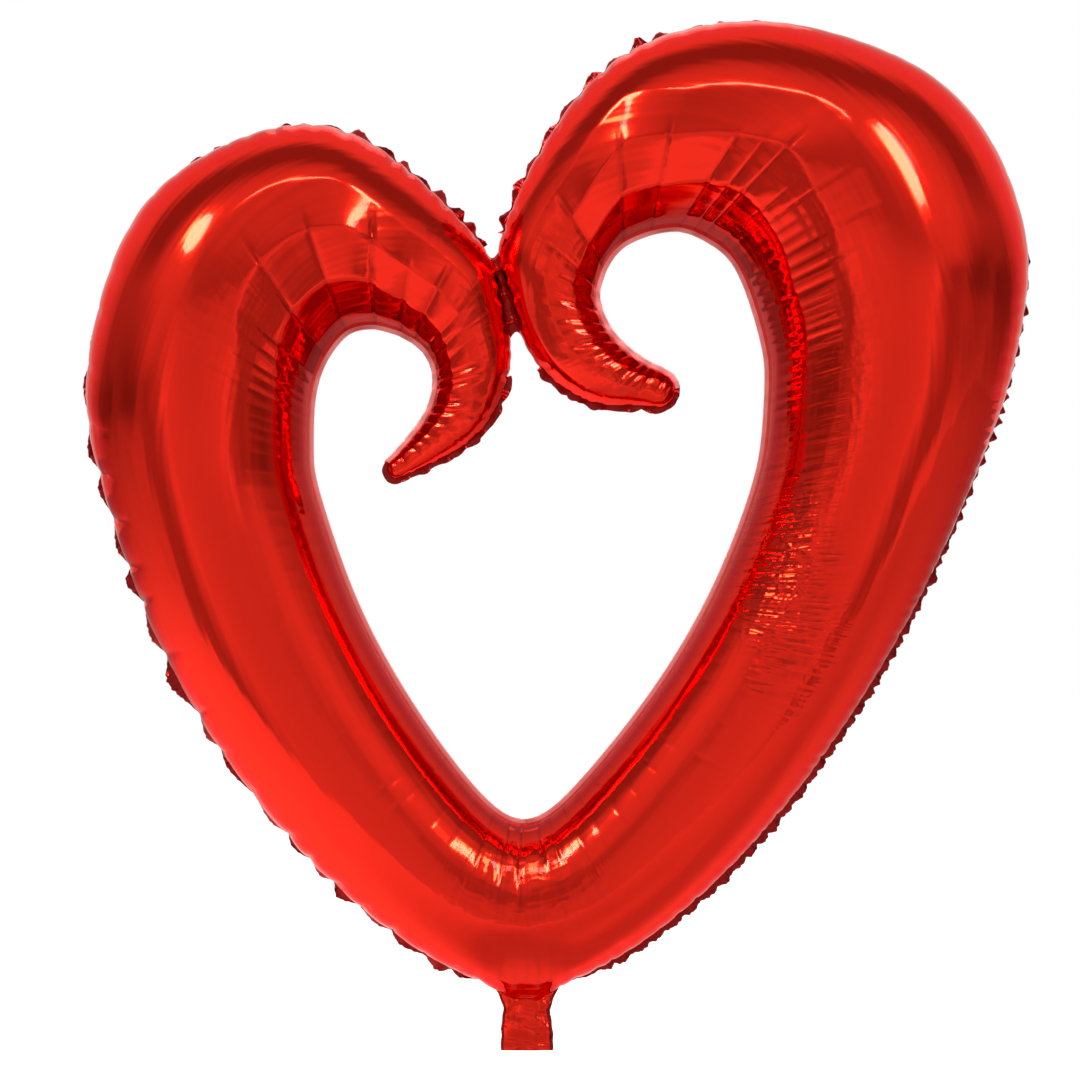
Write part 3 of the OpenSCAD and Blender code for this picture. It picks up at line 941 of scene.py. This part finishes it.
class BALLOON_OT_seals(bpy.types.Operator):
    """Makes the ruffled outer margins, the hook margins, the taut inner margins and the lobe weld"""
    bl_idname = "balloon.seals"
    bl_label = "Seals"

    def execute(self, context):
        balloon, sizes, colours = shared_balloon(), context.scene.balloon_seals, context.scene.balloon_film
        # Ruffled seals get a darker red as painted shade; the inner seals a pale pink as a painted
        # highlight.
        ruffled = foil_material("red_foil_margin", colours.shaded_seal_colour, 0.9 * colours.crinkle, 0.8, 0.10)
        taut = foil_material("red_foil_inner_margin", colours.highlit_inner_seal_colour, 0.1, 0.3, 0.30)
        last = balloon.tube.count - 1
        neck_left, neck_right = balloon.neck_columns[0], balloon.neck_columns[-1]
        left_weld, left_free, right_weld, right_free, bottom = (station(balloon, share) for share in (
            LEFT_WELD_TOP, LEFT_HOOK_FREE, RIGHT_WELD_TOP, RIGHT_HOOK_FREE, BOTTOM))
        pieces = (
            ("left_outer_margin", "left_outer_seal", ruffled,
             outer_margin(balloon, left_weld, neck_left, sizes.outer_width, sizes.ruffle)),
            ("right_outer_margin", "right_outer_seal", ruffled,
             outer_margin(balloon, neck_right, right_weld, sizes.outer_width, sizes.ruffle)),
            ("left_hook_margin", "left_hook_seal", ruffled,
             hook_margin(balloon, 0, left_free, True, sizes.hook_width, sizes.ruffle)),
            ("right_hook_margin", "right_hook_seal", ruffled,
             hook_margin(balloon, right_free, last, False, sizes.hook_width, sizes.ruffle)),
            ("left_inner_margin", "left_inner_seal", taut,
             inner_margin(balloon, NOSE_POINTS - 3, bottom, sizes.inner_width)),
            ("right_inner_margin", "right_inner_seal", taut,
             inner_margin(balloon, bottom, last - NOSE_POINTS + 3, sizes.inner_width)),
            ("lobe_weld", "lobe_seal", ruffled, weld_mesh(balloon)))
        for name, node, material, points in pieces:
            piece = new_piece(name, points, grid_faces(*points.shape[:2]), material, MARGIN_THICKNESS)
            paint_margin(piece, points)
            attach(piece, "envelope")
            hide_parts(node)
        strips = side_weld_mesh(balloon)
        weld = new_piece("neck_and_tail_welds", np.array(strips), strip_faces(strips), ruffled,
                         MARGIN_THICKNESS)
        paint_margin(weld, np.concatenate(strips))
        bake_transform(weld)
        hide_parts("neck_side_seals", "tail_side_seals")
        return {"FINISHED"}


class BALLOON_OT_valve(bpy.types.Operator):
    """Makes the self-sealing valve inside the neck and tail"""
    bl_idname = "balloon.valve"
    bl_label = "Valve"

    def execute(self, context):
        film = film_material("valve_film", (0.86, 0.86, 0.82), 0.55)
        coat = film_material("release_coat", (0.80, 0.72, 0.45), 0.9)
        low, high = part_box("valve_release_coat")
        half, inside = VALVE_HIGH.x, high.x
        for name, offset in (("front", -VALVE_GAP), ("back", VALVE_GAP)):
            points = valve_points(-half, half, MOUTH_LOW.z, VALVE_HIGH.z, offset)
            ply = new_piece("valve_" + name + "_film", points, grid_faces(*points.shape[:2]), film)
            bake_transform(ply)
            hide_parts("valve_" + name + "_ply", "valve_mouth_" + name + "_ply")
        strips = [valve_points(*sides, MOUTH_LOW.z, VALVE_HIGH.z, 0)
                  for sides in ((-half, -inside), (inside, half))]
        welds = new_piece("valve_weld_lines", np.array(strips), strip_faces(strips), film)
        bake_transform(welds)
        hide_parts("valve_side_welds", "valve_mouth_welds")
        points = valve_points(low.x, high.x, low.z, high.z, VALVE_GAP / 2)
        print_coat = new_piece("valve_print", points, grid_faces(*points.shape[:2]), coat)
        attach(print_coat, "envelope")
        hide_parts("valve_release_coat")
        return {"FINISHED"}


def aim(thing, place, target):
    thing.location = place
    thing.rotation_euler = (Vector(target) - Vector(place)).to_track_quat("-Z", "Y").to_euler()


def soft_light(name, place, target, wide, high, power):
    data = bpy.data.lights.new(name, "AREA")
    data.shape = "ELLIPSE"
    data.size, data.size_y = wide, high
    data.energy = power
    light = bpy.data.objects.new(name, data)
    bpy.context.scene.collection.objects.link(light)
    light.visible_camera = False
    aim(light, place, target)
    return light


# Brightness of the studio from in front of the object (0) round to behind it (1), for directions
# that point down (-1) to up (1)
EYE_LEVEL = (
    (0.07, 0.98), (0.10, 0.50), (0.17, 0.34), (0.22, 0.42), (0.27, 0.24), (0.34, 0.20), (0.46, 0.30),
    (0.52, 0.18))
STUDIO = (
    (-0.80, ((0.0, 0.8), (0.05, 1.0), (0.9, 1.0), (1.0, 0.7))),
    (-0.62, ((0.0, 0.75), (0.03, 0.8), (0.10, 1.0), (0.9, 1.0), (1.0, 0.7))),
    (-0.48, ((0.0, 0.70), (0.10, 0.70), (0.15, 0.34), (0.18, 0.50), (0.21, 0.30), (0.25, 1.0), (0.85, 1.0),
             (1.0, 0.65))),
    (-0.06, ((0.0, 0.66), (0.02, 0.72), (0.05, 0.78), *EYE_LEVEL, (0.68, 0.22), (0.82, 0.62),
             (0.92, 0.82), (1.0, 0.7))),
    (0.04, ((0.0, 0.62), (0.02, 0.66), (0.05, 0.75), *EYE_LEVEL, (0.66, 0.24), (0.80, 0.65),
            (0.92, 0.82), (1.0, 0.7))),
    (0.14, ((0.0, 0.40), (0.03, 0.46), (0.09, 0.66), (0.18, 0.72), (0.27, 0.34), (0.36, 0.26), (0.52, 0.34),
            (0.60, 0.28), (0.76, 0.72), (0.90, 0.85), (1.0, 0.7))),
    (0.32, ((0.0, 0.44), (0.04, 0.54), (0.10, 0.72), (0.20, 0.80), (0.30, 0.60), (0.43, 0.44), (0.58, 0.42),
            (0.70, 0.82), (0.90, 0.95), (1.0, 0.8))),
    (0.50, ((0.0, 0.66), (0.12, 0.70), (0.22, 0.74), (0.29, 0.62), (0.37, 0.28), (0.52, 0.28), (0.63, 0.88),
            (0.80, 0.9), (1.0, 0.62))))


def ramp_node(tree, factor, stops):
    node = tree.nodes.new("ShaderNodeValToRGB")
    tree.links.new(factor, node.inputs["Fac"])
    elements = node.color_ramp.elements
    while len(elements) < len(stops):
        elements.new(0.5)
    for element, (place, level) in zip(elements, stops):
        element.position = place
        element.color = (level, level, level, 1)
    return node.outputs["Color"]


def studio_world():
    """Soft studio surroundings that the foil mirrors, and plain white behind the object."""
    world = bpy.data.worlds.new("studio")
    world.use_nodes = True
    tree = world.node_tree
    background = tree.nodes["Background"]
    direction = tree.nodes.new("ShaderNodeTexCoord").outputs["Generated"]
    parts = tree.nodes.new("ShaderNodeSeparateXYZ")
    tree.links.new(direction, parts.inputs[0])
    behind = plus(tree, times(tree, parts.outputs["Y"], 0.5), 0.5)
    colour, below = None, None
    for height, stops in STUDIO:
        shade = ramp_node(tree, behind, stops)
        if colour is None:
            colour = shade
        else:
            rise = tree.nodes.new("ShaderNodeMapRange")
            set_inputs(rise, {"From Min": below, "From Max": height})
            tree.links.new(parts.outputs["Z"], rise.inputs["Value"])
            colour = mix_node(tree, rise.outputs["Result"], colour, shade)
        below = height
    shown = mix_node(tree, camera_ray(tree), colour, (1, 1, 1, 1))
    tree.links.new(shown, background.inputs["Color"])
    bpy.context.scene.world = world


AIM_LEFT, AIM_DOWN = 16 * MM, 8 * MM  # from the middle of the object to the camera's aim
FLOOR_CORNERS = ((-4.0, -0.75), (4.0, -0.75), (4.0, 7.0), (-4.0, 7.0))
FLOOR_GLOW = 0.8  # as seen directly
FLOOR_SOFT_GLOW = 0.05  # as mirrored in the foil


def floor_material(colour):
    """Pale paper that looks almost white from the camera and darker in the foil."""
    material, tree, shader = new_material("pale_floor")
    set_inputs(shader, {"Roughness": 0.9, "Emission Color": (1, 1, 1, 1)})
    glow = times(tree, camera_ray(tree), FLOOR_GLOW - FLOOR_SOFT_GLOW)
    tree.links.new(plus(tree, glow, FLOOR_SOFT_GLOW), shader.inputs["Emission Strength"])
    cloud = noise_node(tree, object_place(tree), 3.0, 2.0)
    tone = mix_node(tree, cloud, (*colour, 1), (*[c * 0.98 for c in colour], 1))
    tree.links.new(tone, shader.inputs["Base Color"])
    return material


class BALLOON_OT_stage(bpy.types.Operator):
    """Makes the pale floor, the soft lights and the camera"""
    bl_idname = "balloon.stage"
    bl_label = "Stage"

    def execute(self, context):
        stage = context.scene.balloon_stage
        studio_world()
        centre_x = (PANEL_LOW.x + PANEL_HIGH.x) / 2 - AIM_LEFT
        centre_z = (CAD_LOW.z + CAD_HIGH.z) / 2 - AIM_DOWN
        floor_z = CAD_LOW.z - stage.floor_drop
        floor = new_piece("studio_floor", [(x, y, floor_z) for x, y in FLOOR_CORNERS], [[0, 1, 2, 3]],
                          floor_material(stage.floor_colour))
        middle = (centre_x, 0, centre_z)
        soft_light("left_softbox", (-1.6, -1.7, 2.25), middle, 0.62, 0.9, 36)
        soft_light("right_softbox", (1.4, -2.1, 2.0), middle, 0.46, 1.2, 32)
        soft_light("top_strip", (-0.1, -1.5, 2.05), middle, 1.1, 0.24, 9)
        pool = soft_light("floor_light", (-0.65, 0.4, 1.5), (-0.5, 0.3, floor_z), 0.6, 0.6, 52)
        pool.visible_glossy = False
        soft_light("back_light", (0.0, 2.2, 2.6), middle, 1.6, 1.0, 4)
        data = bpy.data.cameras.new("camera")
        data.lens = stage.lens
        camera = bpy.data.objects.new("camera", data)
        context.scene.collection.objects.link(camera)
        aim(camera, (centre_x, -stage.camera_distance, centre_z), middle)
        context.scene.camera = camera
        context.scene.view_settings.view_transform = "Standard"
        return {"FINISHED"}


class BALLOON_PT_panel(bpy.types.Panel):
    """Lists the balloon's settings and pieces"""
    bl_idname = "BALLOON_PT_panel"
    bl_label = "Balloon"
    bl_space_type = "VIEW_3D"
    bl_region_type = "UI"
    bl_category = "Balloon"

    def draw(self, context):
        for title, group, operator in SECTIONS:
            box = self.layout.box()
            box.label(text=title)
            if group:
                settings = getattr(context.scene, group)
                for name in settings.__annotations__:
                    box.prop(settings, name)
            box.operator(operator)


SECTIONS = (("Films", "balloon_film", "balloon.films"), ("Seals", "balloon_seals", "balloon.seals"),
            ("Valve", None, "balloon.valve"), ("Stage", "balloon_stage", "balloon.stage"))
CLASSES = (BalloonFilmSettings, BalloonSealSettings, BalloonStageSettings, BALLOON_OT_films,
           BALLOON_OT_seals, BALLOON_OT_valve, BALLOON_OT_stage, BALLOON_PT_panel)


def register():
    for cls in CLASSES:
        bpy.utils.register_class(cls)
    bpy.types.Scene.balloon_film = bpy.props.PointerProperty(type=BalloonFilmSettings)
    bpy.types.Scene.balloon_seals = bpy.props.PointerProperty(type=BalloonSealSettings)
    bpy.types.Scene.balloon_stage = bpy.props.PointerProperty(type=BalloonStageSettings)


def unregister():
    del bpy.types.Scene.balloon_film, bpy.types.Scene.balloon_seals, bpy.types.Scene.balloon_stage
    for cls in reversed(CLASSES):
        bpy.utils.unregister_class(cls)


def main():
    register()
    for operator in (bpy.ops.balloon.films, bpy.ops.balloon.seals, bpy.ops.balloon.valve,
                     bpy.ops.balloon.stage):
        operator()


if __name__ == "__main__":
    main()
